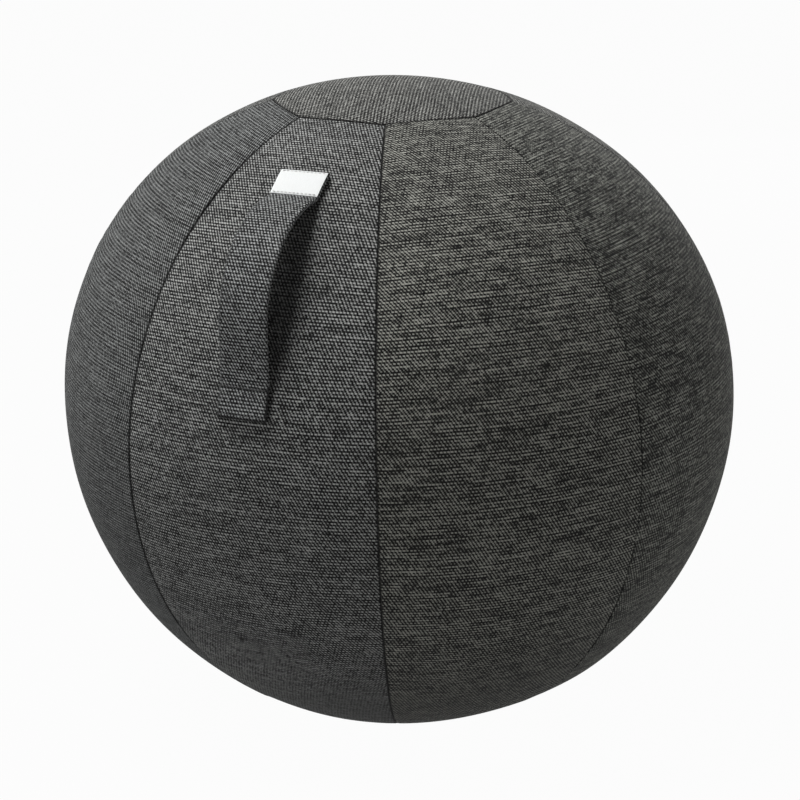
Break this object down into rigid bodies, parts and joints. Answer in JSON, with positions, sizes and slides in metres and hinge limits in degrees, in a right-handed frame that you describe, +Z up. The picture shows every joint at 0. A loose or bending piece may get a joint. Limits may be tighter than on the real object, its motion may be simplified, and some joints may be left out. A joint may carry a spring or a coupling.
{
  "type": "sitting ball",
  "caption": "Round fabric-covered sitting ball with sewn panels, a carrying handle, a bare label, a rear zip and a flat base ring that stops it rolling.",
  "frame": {"origin": "centre of the flat base, on the floor", "axes": "+Z up; -Y towards the panel that carries the handle; +X to the right of someone facing that panel"},
  "size_m": [0.6498, 0.6499, 0.6136],
  "materials": {
    "cover_cloth": "coarse two-tone weave",
    "base_cloth": "close weave with a grippy face",
    "binding_tape": "twill tape",
    "strap_cloth": "coarse two-tone weave",
    "webbing": "woven webbing",
    "thread": "sewing thread",
    "label_ribbon": "smooth ribbon, bare",
    "label_thread": "sewing thread",
    "zip_tape": "woven tape",
    "zip_coil": "nylon",
    "zip_metal": "dark enamel",
    "bladder_vinyl": "soft vinyl",
    "plug_plastic": "moulded",
    "ring_plastic": "extruded",
    "lining_cloth": "plain lining"
  },
  "bodies": {
    "ball": {"side_panel_1": "cover_cloth", "side_panel_2": "cover_cloth", "side_panel_3": "cover_cloth", "side_panel_4": "cover_cloth", "side_panel_5": "cover_cloth", "side_panel_6": "cover_cloth", "side_panel_7": "cover_cloth", "side_panel_8": "cover_cloth", "top_panel": "cover_cloth", "base_panel": "base_cloth", "seam_bindings": "binding_tape", "top_binding": "binding_tape", "base_binding": "binding_tape", "handle_strap": "strap_cloth", "handle_core": "webbing", "handle_stitching": "thread", "upper_handle_backing": "webbing", "lower_handle_backing": "webbing", "label_tab": "label_ribbon", "label_stitching": "label_thread", "zip_tape_left": "zip_tape", "zip_tape_right": "zip_tape", "zip_coil_left": "zip_coil", "zip_coil_right": "zip_coil", "zip_stops": "zip_metal", "bladder": "bladder_vinyl", "valve_plug": "plug_plastic", "stand_ring": "ring_plastic", "ring_pocket": "lining_cloth"},
    "zip_slider": {"zip_slider": "zip_metal"},
    "zip_pull": {"zip_pull": "zip_metal"}
  },
  "joints": [
    {"name": "zip_slider_travel", "type": "hinge", "parent": "ball", "child": "zip_slider", "pos_m": [-0.00268, 0.00647, 0.303], "axis": [-0.9239, -0.3827, 0], "range_deg": [0, 63.49]},
    {"name": "zip_pull_swing", "type": "hinge", "parent": "zip_slider", "child": "zip_pull", "pos_m": [-0.12441, 0.30036, 0.35707], "axis": [0.9239, 0.3827, 0], "range_deg": [0, 170]}
  ]
}
